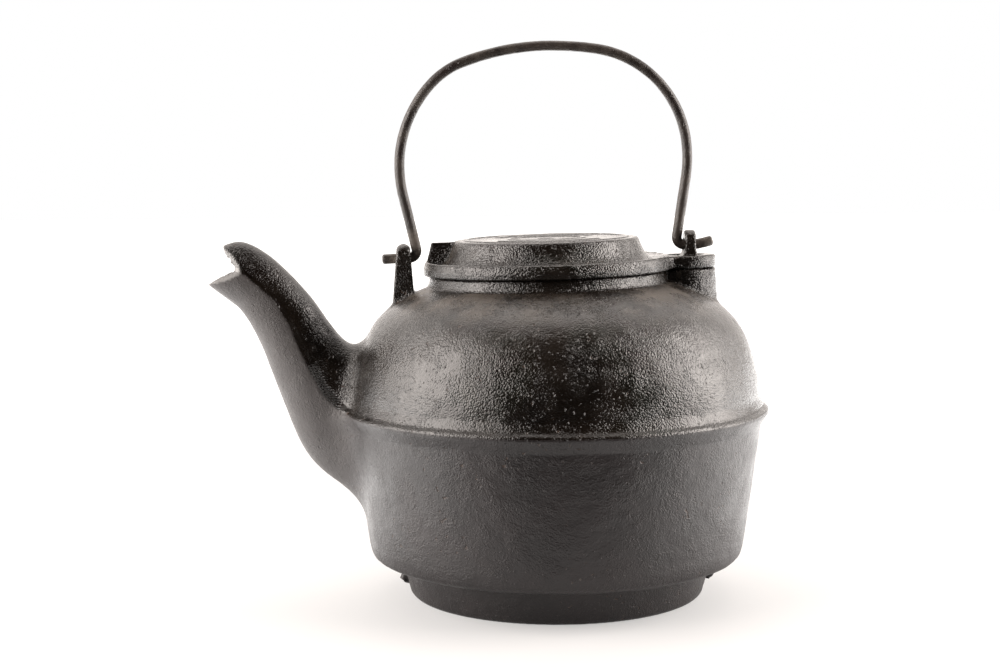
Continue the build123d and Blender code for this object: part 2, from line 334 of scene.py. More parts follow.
def spout_tables():
    """Maps over (x, z): place along the spout, height across it, half height and half width."""
    tops = smooth_curve([s[0] for s in SPOUT], 16)
    bottoms = smooth_curve([s[1] for s in SPOUT], 16)
    widths = smooth_curve([(s[2], 0.0) for s in SPOUT], 16)[:, 0]
    low, high, step = (-215.0, 30.0), (-88.0, 225.0), 0.5
    x = np.arange(low[0], high[0] + step, step)[:, None]
    z = np.arange(low[1], high[1] + step, step)[None, :]
    middles = (tops + bottoms) / 2
    place = np.zeros((x.shape[0], z.shape[1]))
    ahead = None
    for k, (top, bottom, middle) in enumerate(zip(tops, bottoms, middles)):
        up = (top - bottom) / hypot(*(top - bottom))
        beyond = (x - middle[0]) * -up[1] + (z - middle[1]) * up[0]
        if k:
            share = np.clip(ahead / np.maximum(ahead - beyond, 1e-6), 0.0, 1.0)
            passed = ahead > 0
            place = np.where(passed, np.where(beyond > 0, k, k - 1 + share), place)
        ahead = beyond
    index = np.arange(len(tops))
    top_x, top_z = (np.interp(place, index, tops[:, i]) for i in (0, 1))
    low_x, low_z = (np.interp(place, index, bottoms[:, i]) for i in (0, 1))
    half = np.hypot(top_x - low_x, top_z - low_z) / 2
    across = (x - (top_x + low_x) / 2) * (top_x - low_x) + (z - (top_z + low_z) / 2) * (top_z - low_z)
    across = across / (2 * half)
    width = np.interp(place, index, widths)
    return (low, step) + tuple(softened(table, SPOUT_BLUR) for table in (across, half, width))


S_LOW, S_STEP, S_ACROSS, S_HALF, S_WIDTH = spout_tables()
SEAM_X = np.array([p[0] for p in SEAM])
SEAM_H = np.array([p[1] for p in SEAM])


def seam_height(p):
    """Distance above the parting seam."""
    here = np.interp(p[:, 0], SEAM_X, SEAM_H)
    slope = (np.interp(p[:, 0] + 2.0, SEAM_X, SEAM_H) - np.interp(p[:, 0] - 2.0, SEAM_X, SEAM_H)) / 4.0
    return (p[:, 2] - here) / np.sqrt(1.0 + slope ** 2)


def ledge_step(z):
    """How far the step at the seam is set in at this height, and the run it takes to get there."""
    share = ramp(-z, -LEDGE_RUN_Z[0], -LEDGE_RUN_Z[1])
    return LEDGE[0] + (LEDGE[1] - LEDGE[0]) * share, LEDGE_RUN[0] + (LEDGE_RUN[1] - LEDGE_RUN[0]) * share


def spout_field(p, wall=0.0):
    """The spout as an oval tube, its upper half set in above the seam."""
    x, z = p[:, 0], p[:, 2]
    across, half, width = (bilinear(t, S_LOW, S_STEP, x, z) for t in (S_ACROSS, S_HALF, S_WIDTH))
    half = half - wall
    if wall:
        width = width - wall - LEDGE[1] * 0.5
    else:
        depth, run = ledge_step(z)
        width = width - depth * np.clip((seam_height(p) + 0.2) / run, 0.0, 1.0)
    u = across / half
    v = p[:, 1] / width
    q = np.sqrt(u * u + v * v) + 1e-6
    grad = np.sqrt((u / half) ** 2 + (v / width) ** 2) / q + 1e-6
    field = np.clip((q - 1.0) / grad, -SPOUT_REACH, SPOUT_REACH)
    return np.where(x > SPOUT_END_X, SPOUT_REACH, field)


def rim_frame(p, gap=0.0):
    """Points as (along, y, above) in the rim's frame, which rises towards the rear."""
    dx = p[:, 0] - NECK_X
    dz = p[:, 2] - RIM_Z
    along = dx * cos(RIM_TILT) + dz * sin(RIM_TILT)
    above = -dx * sin(RIM_TILT) + dz * cos(RIM_TILT) - gap
    return along, p[:, 1], above


def rounded_rod(radius, height, r, top, ease):
    """An upright rod of radius r up to height top, its rim rounded by ease."""
    a = radius - r + ease
    b = height - top + ease
    return np.minimum(np.maximum(a, b), 0.0) + np.hypot(np.maximum(a, 0), np.maximum(b, 0)) - ease


def axis_z(x):
    """Height of the bail's swing axis at x."""
    return FRONT_HOLE_Z + AXIS_SLOPE * (x - FRONT_EAR_X)


def ear_tab(p, hole_z):
    """Round-topped tab seen along X."""
    side = np.abs(p[:, 1]) - EAR_HALF_W
    crown = np.hypot(p[:, 1], p[:, 2] - hole_z) - EAR_CROWN
    return np.where(p[:, 2] > hole_z, blend_max(side, crown, 1.5), side)


def mouth_cut(p):
    """The ground the mouth is cut away over, bevelled back across the wall at both sides."""
    bevel = MOUTH_BEVEL * np.maximum(np.abs(p[:, 1]) - MOUTH_BEVEL_Y, 0.0)
    return MOUTH_PROFILE(p[:, 0] - bevel, p[:, 2])


def ears(p):
    """Front ear, a wedge, and rear ear, a post on the lid pivot."""
    half_t = FRONT_EAR_HALF_T + (FRONT_EAR_TOP_Z - p[:, 2]) * FRONT_EAR_TAPER
    ease = FRONT_EAR_EASE[0] + FRONT_EAR_EASE[1] * ramp(p[:, 2], *FRONT_EAR_EASE_Z)
    front = np.abs(p[:, 0] - FRONT_EAR_X - FRONT_EAR_SHIFT) - half_t
    front = blend_max(front, ear_tab(p, FRONT_HOLE_Z), ease)
    front = np.where(p[:, 2] < FRONT_EAR_FOOT_Z, FAR, front)
    flare = np.exp(-np.clip(p[:, 2] - REAR_EAR_FLARE_Z, 0.0, 20.0) / REAR_EAR_FLARE)
    rear_t = REAR_EAR_HALF_T + REAR_EAR_FLARE * flare
    rear = blend_max(np.abs(p[:, 0] - REAR_EAR_X) - rear_t, ear_tab(p, REAR_HOLE_Z), 2.0)
    rear = np.where(p[:, 2] < REAR_EAR_FOOT_Z, FAR, rear)
    return front, rear


def boss(p):
    """Boss behind the neck with the lid pivot on it."""
    along, y, above = rim_frame(p)
    radius = np.hypot(along - PIVOT_D, y)
    taper = TONGUE_R - BOSS_INSET + BOSS_TAPER * np.clip(-above, 0.0, BOSS_TAPER_END)
    taper = taper + BOSS_SKIRT * ramp(-above, *BOSS_SKIRT_RUN)
    drum = rounded_rod(radius, above, taper, 0.0, 1.2)
    web = np.maximum(WEB_START - along, along - PIVOT_D)
    web = np.maximum(np.abs(y) - BRIDGE_HALF_W + WEB_INSET, web)
    web = blend_max(web, above, 1.5)
    solid = blend_min(drum, web, 1.5)
    solid = np.maximum(solid, -above - BOSS_DEPTH)
    pivot = rounded_rod(radius, above, PIVOT_R, PIVOT_H, 0.8)
    return blend_min(solid, np.where(above < -6, FAR, pivot), 0.8)


def cast_junctions(p):
    """The parts of the outside of the body casting, for joining and for finding their creases."""
    radius = np.hypot(p[:, 0], p[:, 1])
    turned = BODY_PROFILE(radius, p[:, 2])
    along, y, above = rim_frame(p)
    drafted = NECK_R - NECK_DRAFT * np.clip(above, NECK_DRAFT_FROM, 0.0)
    neck = rounded_rod(np.hypot(along, y), above, drafted, 0.0, 0.8)
    neck = np.where(above < NECK_FOOT, FAR, neck)
    return turned, neck, spout_field(p), *ears(p), boss(p)


def scars(p):
    """Gate scars left on the foot where the iron was poured in."""
    left, right = (np.sqrt((((p - middle) / halves) ** 2).sum(1)) for middle, halves in SCARS)
    lumps = 1.5 * noise(p, 2.6, 40) + 1.0 * noise(p, 4.6, 41)
    return np.minimum(left - 1.0, right - 1.0) * 2.6 + 0.8 * lumps


def body_outside(p):
    """Outside of the body casting."""
    turned, neck, spout, front, rear, drum = cast_junctions(p)
    above_seam = ramp(p[:, 2], 96.0, 118.0)
    solid = blend_min(turned, neck, 1.6)
    solid = blend_min(solid, drum, 2.6)
    solid = blend_min(solid, spout, 15.0 - 4.0 * above_seam)
    solid = blend_min(solid, front, 2.0)
    solid = blend_min(solid, rear, 1.6)
    return blend_min(solid, np.where(p[:, 2] < SCAR_TOP_Z, scars(p), FAR), 1.2)


def body_inside(p):
    """Water space, neck bore and spout passage."""
    turned = CAVITY_PROFILE(np.hypot(p[:, 0], p[:, 1]), p[:, 2])
    along, y, above = rim_frame(p)
    bore = np.maximum(np.hypot(along, y) - NECK_BORE_R, -above - NECK_BORE_DEPTH)
    passage = np.maximum(spout_field(p, SPOUT_WALL), p[:, 0] - PASSAGE_END_X)
    return blend_min(blend_min(turned, bore, 3.0), passage, 3.0)


def body_field(p):
    """The hollow body casting with its ear holes and cut mouth."""
    solid = body_outside(p)
    solid = blend_max(solid, -body_inside(p), 1.2)
    mouth = np.where(p[:, 0] < MOUTH_SIDE_X, mouth_cut(p), FAR)
    solid = blend_max(solid, -mouth, 0.7)
    hole = np.hypot(p[:, 1], p[:, 2] - axis_z(p[:, 0])) - EAR_HOLE_R
    near_ear = np.minimum(np.abs(p[:, 0] - FRONT_EAR_X), np.abs(p[:, 0] - REAR_EAR_X)) - EAR_HOLE_REACH
    return blend_max(solid, -np.maximum(hole, near_ear), 0.9)


def lid_field(p):
    """Lid with flange, hollow crown, tongue and thumb fin."""
    along, y, above = rim_frame(p, LID_GAP)
    radius = np.hypot(along, y)
    disc = LID_PROFILE(radius, above)
    end = np.hypot(along - PIVOT_D, y) - TONGUE_R
    neck = np.maximum(np.abs(y) - BRIDGE_HALF_W, np.maximum(along - PIVOT_D, TONGUE_SPAN[0] - along))
    plan = blend_min(blend_min(end, neck, 1.5), radius - TONGUE_JOIN_R, 9.0)
    plan = np.maximum(plan, TONGUE_SPAN[1] - along)
    tongue = blend_max(plan, np.abs(above - FLANGE_T / 2) - FLANGE_T / 2, TONGUE_EASE)
    solid = blend_min(disc, tongue, 1.0)
    fin = blend_max(FIN_PROFILE(along, above), np.abs(y) - FIN_HALF_T, 0.9)
    fin = np.where(along > FIN_END, FAR, fin)
    solid = blend_min(solid, fin, 1.0)
    solid = blend_max(solid, -HOLLOW_PROFILE(radius, above), 1.0)
    hole = np.hypot(along - PIVOT_D, y) - PIVOT_HOLE_R
    return blend_max(solid, -hole, 1.0)


# ============================ meshing ========================================================

CORNERS = np.array([(i, j, k) for i in (0, 1) for j in (0, 1) for k in (0, 1)])
CELL_EDGES = [(a, b) for a in range(8) for b in range(a + 1, 8) if abs(CORNERS[a] - CORNERS[b]).sum() == 1]


def chunked(field, points, size=400000):
    """The field at many points, a block at a time."""
    return np.concatenate([field(points[i:i + size]) for i in range(0, len(points), size)])


def near_cells(field, low, high, size, halvings=3):
    """Cells of the wanted size that may hold the surface."""
    cell = size * 2 ** halvings
    counts = np.ceil((high - low) / cell).astype(int)
    cells = np.stack(np.meshgrid(*[np.arange(c) for c in counts], indexing="ij"), -1).reshape(-1, 3)
    for level in range(halvings + 1):
        centres = low + (cells + 0.5) * cell
        slack = 1.8 if level == halvings else 2.0
        cells = cells[np.abs(chunked(field, centres)) < slack * cell]
        if level < halvings:
            cells = (cells[:, None, :] * 2 + CORNERS).reshape(-1, 3)
            cell /= 2
    return cells


def surface_net(field, low, high, size):
    """Quads on the field's zero surface, about size across."""
    low, high = np.array(low, float), np.array(high, float)
    cells = near_cells(field, low, high, size)
    span = cells.max() + 3

    def key(c):
        return ((c[:, 0] + 1) * span + c[:, 1] + 1) * span + c[:, 2] + 1

    corner_keys = key((cells[:, None, :] + CORNERS).reshape(-1, 3))
    _, first, back = np.unique(corner_keys, return_index=True, return_inverse=True)
    corner_cells = (cells[:, None, :] + CORNERS).reshape(-1, 3)[first]
    values = chunked(field, low + corner_cells * size)[back].reshape(-1, 8)
    inside = values < 0
    active = inside.any(1) & ~inside.all(1)
    cells, values = cells[active], values[active]
    order = np.argsort(key(cells))
    cells, values = cells[order], values[order]
    total = np.zeros((len(cells), 3))
    count = np.zeros(len(cells))
    for a, b in CELL_EDGES:
        va, vb = values[:, a], values[:, b]
        cross = (va < 0) != (vb < 0)
        t = np.where(cross, va / np.where(cross, va - vb, 1.0), 0.0)[:, None]
        total += np.where(cross[:, None], CORNERS[a] + t * (CORNERS[b] - CORNERS[a]), 0.0)
        count += cross
    points = low + (cells + total / count[:, None]) * size
    keys = key(cells)
    quads = []
    for axis in range(3):
        u, v = (axis + 1) % 3, (axis + 2) % 3
        eu, ev = np.eye(3, dtype=int)[u], np.eye(3, dtype=int)[v]
        far = int(np.where((CORNERS == np.eye(3, dtype=int)[axis]).all(1))[0][0])
        va, vb = values[:, 0], values[:, far]
        cross = (va < 0) != (vb < 0)
        base = cells[cross]
        ring = []
        good = np.ones(len(base), bool)
        for c in (base, base - eu, base - eu - ev, base - ev):
            k = key(c)
            at = np.clip(np.searchsorted(keys, k), 0, len(keys) - 1)
            good &= keys[at] == k
            ring.append(at)
        quad = np.stack(ring, 1)
        flip = va[cross] < 0
        quad[~flip] = quad[~flip][:, ::-1]
        quads.append(quad[good])
    return points, np.concatenate(quads)


def gradient(field, points, eps=0.05):
    """The field's gradient by central differences."""
    parts = []
    for axis in range(3):
        step = np.eye(3)[axis] * eps
        parts.append((chunked(field, points + step) - chunked(field, points - step)) / (2 * eps))
    return np.stack(parts, 1)


def settle(field, points, rounds=2):
    """Move points onto the field's zero surface."""
    for _ in range(rounds):
        slope = gradient(field, points)
        size2 = np.maximum((slope ** 2).sum(1), 0.1)
        move = -(chunked(field, points) / size2)[:, None] * slope
        length = np.linalg.norm(move, axis=1, keepdims=True)
        points = points + move * np.minimum(1.0, 0.8 / np.maximum(length, 1e-9))
    return points


def relax(points, quads, share=0.5):
    """Draw each point towards the middle of its neighbours."""
    many = len(points)
    total = np.zeros_like(points)
    count = np.zeros(many)
    for k in range(4):
        a, b = quads[:, k], quads[:, (k + 1) % 4]
        for i in range(3):
            total[:, i] += np.bincount(a, points[b, i], many) + np.bincount(b, points[a, i], many)
        count += np.bincount(a, minlength=many) + np.bincount(b, minlength=many)
    middle = total / np.maximum(count, 1)[:, None]
    return points + share * (middle - points)


def field_mesh(field, low, high, size):
    """Points, quads and outward normals of a field's surface."""
    points, quads = surface_net(field, low, high, size)
    for _ in range(2):
        points = settle(field, relax(points, quads), 1)
    points = settle(field, points, 1)
    normals = gradient(field, points)
    normals /= np.maximum(np.linalg.norm(normals, axis=1, keepdims=True), 1e-9)
    return points, quads, normals


def point_normals(points, quads):
    """Area-weighted normals of a quad mesh."""
    cross = np.cross(points[quads[:, 2]] - points[quads[:, 0]], points[quads[:, 3]] - points[quads[:, 1]])
    out = np.zeros_like(points)
    for k in range(4):
        for i in range(3):
            out[:, i] += np.bincount(quads[:, k], cross[:, i], len(points))
    return out / np.maximum(np.linalg.norm(out, axis=1, keepdims=True), 1e-12)


SHADER_MARKS = ("tint", "rough", "cut", "filed", "smooth", "dull")


def make_piece(name, points, quads, normals, marks, material, body, node):
    """A smooth piece from quads, with the marks its material reads, riding on a body."""
    used = np.unique(quads)
    renumber = np.full(len(points), -1)
    renumber[used] = np.arange(len(used))
    quads = renumber[quads]
    mesh = bpy.data.meshes.new(name)
    mesh.vertices.add(len(used))
    mesh.vertices.foreach_set("co", (points[used] * MM).astype(np.float32).ravel())
    mesh.loops.add(quads.size)
    mesh.loops.foreach_set("vertex_index", quads.astype(np.int32).ravel())
    mesh.polygons.add(len(quads))
    mesh.polygons.foreach_set("loop_start", np.arange(0, quads.size, 4, dtype=np.int32))
    mesh.update(calc_edges=True)
    mesh.validate()
    mesh.polygons.foreach_set("use_smooth", np.ones(len(mesh.polygons), bool))
    for label in SHADER_MARKS:
        if label in marks:
            layer = mesh.attributes.new(label, "FLOAT", "POINT")
            layer.data.foreach_set("value", marks[label][used].astype(np.float32))
    mesh.normals_split_custom_set_from_vertices([tuple(n) for n in normals[used]])
    mesh.materials.append(material)
    piece = bpy.data.objects.new(name, mesh)
    bpy.context.scene.collection.objects.link(piece)
    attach(piece, body)
    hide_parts(node)


# ============================ materials ======================================================

def node_maker(material):
    """A short way to add a node: make(type, inputs, properties)."""
    tree = material.node_tree

    def make(kind, inputs=None, **settings):
        node = tree.nodes.new(kind)
        for name, value in settings.items():
            setattr(node, name, value)
        for name, value in (inputs or {}).items():
            socket = node.inputs[name]
            if isinstance(value, bpy.types.NodeSocket):
                tree.links.new(value, socket)
            else:
                socket.default_value = value
        return node

    return make


LUMPS_PER_METRE = {"pits": 330.0, "pit_patches": 34.0, "seasoning": 26.0, "specks": 420.0, "dust": 60.0,
                   "shine": 48.0, "sparkle": 900.0, "grit": 1500.0, "peel": 760.0, "leather": 290.0,
                   "cells": 1080.0, "beads": 520.0, "rough_patches": 75.0}
FILE_STROKES = 4200.0       # radians per metre of height
FILE_STROKE_WANDER = 0.0012
FILE_STROKE_HEIGHT = 1.1
PIT_DEPTH = 1.1
DUST_DULLS = 0.30
BUMP_STRENGTH = 0.9
BUMP_DISTANCE = 0.0004
SPECK = (0.06, 0.052, 0.046, 1.0)
DUST = (0.105, 0.088, 0.072, 1.0)
RUST = (0.050, 0.026, 0.014, 1.0)
DULL_IRON = (0.040, 0.0355, 0.0345, 1.0)
BRIGHT_IRON = (0.14, 0.137, 0.134, 1.0)


def iron(name, dark, warm, rough, grain, pebble, hide, bead, speck_share, ior=1.5):
    """Blackened cast iron: sandy grain, orange-peel pebbles, beads, pits and uneven seasoning.

    dark and warm are the ends of its colour, rough those of its roughness; grain, pebble, hide and
    bead are heights of the bump's layers.
    """
    material = bpy.data.materials.new(name)
    material.use_nodes = True
    make = node_maker(material)
    shader = material.node_tree.nodes["Principled BSDF"]
    place = make("ShaderNodeTexCoord").outputs["Object"]

    def mottle(kind, detail=3.0, rough=0.55):
        return make("ShaderNodeTexNoise", {"Vector": place, "Scale": LUMPS_PER_METRE[kind], "Detail": detail,
                                           "Roughness": rough}).outputs["Fac"]

    def curve(value, low, high, to_low=0.0, to_high=1.0):
        return make("ShaderNodeMapRange", {"Value": value, "From Min": low, "From Max": high,
                                           "To Min": to_low, "To Max": to_high},
                    interpolation_type="SMOOTHSTEP").outputs["Result"]

    def math(kind, a, b=0.0):
        return make("ShaderNodeMath", {0: a, 1: b}, operation=kind).outputs["Value"]

    def mark(label):
        return make("ShaderNodeAttribute", attribute_name=label).outputs["Fac"]

    def mix(share, under, over):
        inputs = {"Factor": share, "A": under, "B": over}
        return make("ShaderNodeMix", inputs, data_type="RGBA").outputs["Result"]

    def times(a, b):
        return math("MULTIPLY", a, b)

    pits = times(curve(mottle("pits", 2.0, 0.5), 0.64, 0.72), curve(mottle("pit_patches"), 0.50, 0.62))
    colour = mix(curve(mottle("seasoning", 4.0), 0.35, 0.68), dark, warm)
    colour = mix(times(curve(mottle("specks", 2.0), 0.62, 0.74), speck_share), colour, SPECK)
    dust = times(curve(mottle("dust", 6.0, 0.7), 0.34, 0.70), mark("tint"))
    colour = mix(dust, colour, DUST)
    colour = mix(times(pits, 0.5), colour, RUST)
    dull = mark("dull")
    colour = mix(dull, colour, DULL_IRON)
    colour = mix(mark("cut"), colour, BRIGHT_IRON)
    material.node_tree.links.new(colour, shader.inputs["Base Color"])

    shine = curve(mottle("shine", 5.0, 0.6), 0.30, 0.70, rough[0], rough[1])
    shine = math("ADD", shine, times(math("MAXIMUM", dust, times(dull, 0.5)), DUST_DULLS))
    shine = math("ADD", shine, curve(mottle("sparkle", 2.0), 0.3, 0.7, -0.04, 0.04))
    material.node_tree.links.new(shine, shader.inputs["Roughness"])

    grit = mottle("grit", 3.0, 0.6)
    peel = mottle("peel", 2.0, 0.5)
    leather = mottle("leather", 2.0, 0.5)
    cells = make("ShaderNodeTexVoronoi", {"Vector": place, "Scale": LUMPS_PER_METRE["cells"],
                                          "Smoothness": 0.5, "Randomness": 1.0},
                 feature="SMOOTH_F1").outputs["Distance"]
    beads = curve(mottle("beads", 1.0, 0.5), 0.66, 0.76)
    patch = curve(mottle("rough_patches"), 0.35, 0.65, 0.55, 1.25)
    height = math("ADD", times(grit, grain * 0.5), times(peel, grain))
    height = math("ADD", height, times(cells, pebble))
    height = math("ADD", height, times(leather, hide))
    height = times(height, math("ADD", patch, times(mark("rough"), 0.8)))
    height = math("ADD", height, times(beads, bead))
    height = times(height, math("SUBTRACT", 1.0, times(mark("smooth"), 0.85)))
    height = math("SUBTRACT", height, times(pits, PIT_DEPTH))
    level = make("ShaderNodeSeparateXYZ", {"Vector": place}).outputs["Z"]
    strokes = math("SINE", times(math("ADD", level, times(peel, FILE_STROKE_WANDER)), FILE_STROKES))
    height = math("ADD", height, times(times(strokes, mark("filed")), FILE_STROKE_HEIGHT))
    bump = make("ShaderNodeBump", {"Height": height, "Strength": BUMP_STRENGTH, "Distance": BUMP_DISTANCE})
    material.node_tree.links.new(bump.outputs["Normal"], shader.inputs["Normal"])
    shader.inputs["IOR"].default_value = ior
    return material


UPPER_IRON = iron("iron_upper", dark=(0.0024, 0.0015, 0.0010, 1), warm=(0.0064, 0.0042, 0.0028, 1),
                  rough=(0.14, 0.26), grain=0.7, pebble=-0.75, hide=0.10, bead=0.8, speck_share=0.2, ior=1.54)
LOWER_IRON = iron("iron_lower", dark=(0.0060, 0.0038, 0.0039, 1), warm=(0.0110, 0.0074, 0.0075, 1),
                  rough=(0.37, 0.47), grain=0.8, pebble=-0.5, hide=0.6, bead=0.5, speck_share=0.05, ior=1.47)
LID_IRON = iron("iron_lid", dark=(0.0021, 0.0013, 0.0009, 1), warm=(0.0058, 0.0038, 0.0026, 1),
                rough=(0.10, 0.20), grain=0.6, pebble=-1.15, hide=0.3, bead=1.5, speck_share=0.2, ior=1.54)
BAIL_IRON = iron("iron_bail", dark=(0.0075, 0.0048, 0.0042, 1), warm=(0.017, 0.011, 0.0095, 1),
                 rough=(0.30, 0.44), grain=0.4, pebble=-0.3, hide=0.4, bead=0.3, speck_share=0.2)
INNER_IRON = iron("iron_inside", dark=(0.020, 0.015, 0.012, 1), warm=(0.055, 0.036, 0.026, 1),
                  rough=(0.50, 0.72), grain=0.7, pebble=-0.6, hide=0.8, bead=0.4, speck_share=0.3)


# ============================ the castings ===================================================

def crease_near(a, b, reach):
    """1 where two parts of a casting meet, fading over reach."""
    return np.exp(-(np.maximum(np.abs(a), np.abs(b)) / reach) ** 2)


def skin_of(field, fade, full):
    """1 within full of a part's skin, fading to 0 at fade away from it."""
    return ramp(-np.abs(field), -fade, -full)


# where the body's marks lie along X and Z
COLLAR_Z = (162.0, 180.0)
COLLAR_END_X = -115.0
FACET_END_X = -119.0
FILED_X = (124.0, 128.0)
FILED_Z = (130.0, 142.0)
DULL_X = (112.0, 128.0)
CUT_END_X = -180.0


def body_marks(p):
    """Where creases, stains and rough ground lie on the body."""
    turned, neck, spout, front, rear, drum = cast_junctions(p)
    above = seam_height(p)
    upper = ramp(above, -0.5, 0.5)
    crease = np.maximum(crease_near(turned, spout, 5.5) * upper, crease_near(turned, front, 3.2))
    crease = np.maximum(crease, crease_near(np.minimum(turned, neck), drum, 3.0))
    crease = np.maximum(crease, 0.5 * crease_near(turned, neck, 3.0))
    ground = skin_of(front, 1.5, 0.2) + skin_of(rear, 1.5, 0.2)
    boss_rough = skin_of(drum, 2.0, 0.3) * ramp(p[:, 0], 74.0, 84.0) * ramp(rim_frame(p)[2], -34.0, -24.0)
    scar = ramp(-scars(p), -2.0, 0.0) * (p[:, 2] < SCAR_TOP_Z)
    dark_drum = skin_of(drum, 1.6, 0.6) * ramp(p[:, 0], 71.0, 73.0)
    shiny = np.maximum(np.maximum(skin_of(neck, 1.6, 0.8), dark_drum), np.clip(ground, 0, 1))
    collar = ramp(p[:, 2], *COLLAR_Z) * (p[:, 0] > COLLAR_END_X) * (1.0 - shiny)
    patchy = ramp(np.abs(p[:, 0] - 8.0), 14.0, 52.0) + 0.4 * noise(p, 26.0, 14)
    collar *= 0.25 + 0.75 * np.clip(patchy, 0.0, 1.0)
    cut = skin_of(mouth_cut(p), 1.0, 0.5) * (p[:, 0] < CUT_END_X)
    run = ledge_step(p[:, 2])[1]
    facet = ramp(above, -0.3, 0.3) * ramp(-above, -run - 0.8, -run)
    filed = facet * ramp(-p[:, 0], *FILED_X) * ramp(-p[:, 2], -FILED_Z[1], -FILED_Z[0])
    dull = ramp(-p[:, 0], *DULL_X) * (1.0 - upper)
    return {"seam": above, "upper": upper, "crease": np.clip(crease, 0, 1), "ground": np.clip(ground, 0, 1),
            "lumpy": np.clip(boss_rough + scar, 0, 1), "collar": collar, "cut": cut, "filed": filed,
            "smooth": np.clip(facet * (p[:, 0] < FACET_END_X), 0, 1), "dull": dull}


def body_relief(p, marks):
    """How far sand casting moves each point of the body outwards, in millimetres."""
    upper = marks["upper"]
    flat = p * np.array([0.42, 0.42, 1.0])
    waves = 0.22 * noise(p, 31.0, 1) + 0.09 * noise(p, 11.0, 2)
    pebbles = 0.045 * noise(p, 4.6, 3) + 0.028 * noise(p, 2.7, 4)
    lumps = 0.35 * np.maximum(noise(p, 5.2, 5) - 0.55, 0.0) - 0.5 * np.maximum(noise(p, 3.6, 6) - 0.62, 0.0)
    lumps *= 0.5 + 0.5 * upper + (1.0 - upper) * ramp(noise(p, 22.0, 13), -0.1, 0.5) * 0.7
    hammer = 0.075 * noise(flat, 3.4, 7) + 0.045 * noise(p, 6.0, 8)
    rough = 0.26 * noise(p, 2.3, 9) + 0.16 * noise(p, 4.1, 10)
    relief = waves + upper * pebbles + (1 - upper) * hammer + lumps
    relief += (0.9 * marks["crease"] + 0.25 * marks["ground"]) * rough
    relief += marks["lumpy"] * (0.45 * noise(p, 4.5, 11) + 0.3 * noise(p, 2.4, 12))
    return relief


def clip_to_box(points):
    """Keep points inside the CAD model's box."""
    low, high = (np.array(c) / MM for c in CAD_BOX)
    return np.clip(points, low, high)


BODY_BOX = ((-212, -128, -4), (128, 128, 214))
BODY_CELL = 1.2
LID_BOX = ((-80, -76, 184), (97, 76, 214))
LID_CELL = 0.8
BODY_PIECES = (("body_upper", UPPER_IRON), ("body_lower", LOWER_IRON), ("body_inside", INNER_IRON))


def build_body():
    """The body casting as three pieces: above the seam, below it, and inside."""
    p, quads, normals = field_mesh(body_field, *BODY_BOX, BODY_CELL)
    marks = body_marks(p)
    outer = chunked(body_outside, p)
    inner = chunked(body_inside, p)
    hidden = (outer < -0.9) & (np.abs(inner) < 0.9)
    inside_relief = 0.25 * noise(p, 12.0, 20) + 0.12 * noise(p, 4.0, 21)
    relief = np.where(hidden, inside_relief, body_relief(p, marks))
    foot_face = ramp(p[:, 2], 0.4, 2.0)
    p = clip_to_box(p + normals * (relief * foot_face)[:, None])
    normals = point_normals(p, quads)
    marks["tint"] = np.clip(0.06 + 0.74 * marks["collar"], 0, 1) * marks["upper"] + 0.5 * hidden
    marks["rough"] = np.clip(marks["crease"] + marks["lumpy"] * 0.7 + marks["ground"] * 0.3, 0, 1)
    kind = np.where(hidden[quads].mean(1) > 0.5, 2, np.where(marks["seam"][quads].mean(1) > 0, 0, 1))
    for k, (name, material) in enumerate(BODY_PIECES):
        make_piece(name, p, quads[kind == k], normals, marks, material,
                   "kettle_body", "kettle_body")
        print(name, int((kind == k).sum()), "faces")


def crown_relief(p):
    """Plain rings and blank arcs cast on the crown's top, in millimetres."""
    along, y, above = rim_frame(p, LID_GAP)
    radius = np.hypot(along, y)
    angle = np.abs(np.degrees(np.arctan2(y, along)))
    top = ramp(above, CROWN_H - 0.5, CROWN_H - 0.2)

    def ring(middle, half):
        return ramp(-np.abs(radius - middle), -half - 0.5, -half)

    arcs = ring(*ARC_CREST[:2]) * ramp(-np.abs(angle - 90.0), -ARC_SPAN[0], -ARC_SPAN[1])
    outer, inner, dimple = (height * ring(middle, half) for middle, half, height in RING_CREST)
    return top * (outer + inner + ARC_CREST[2] * arcs + dimple)


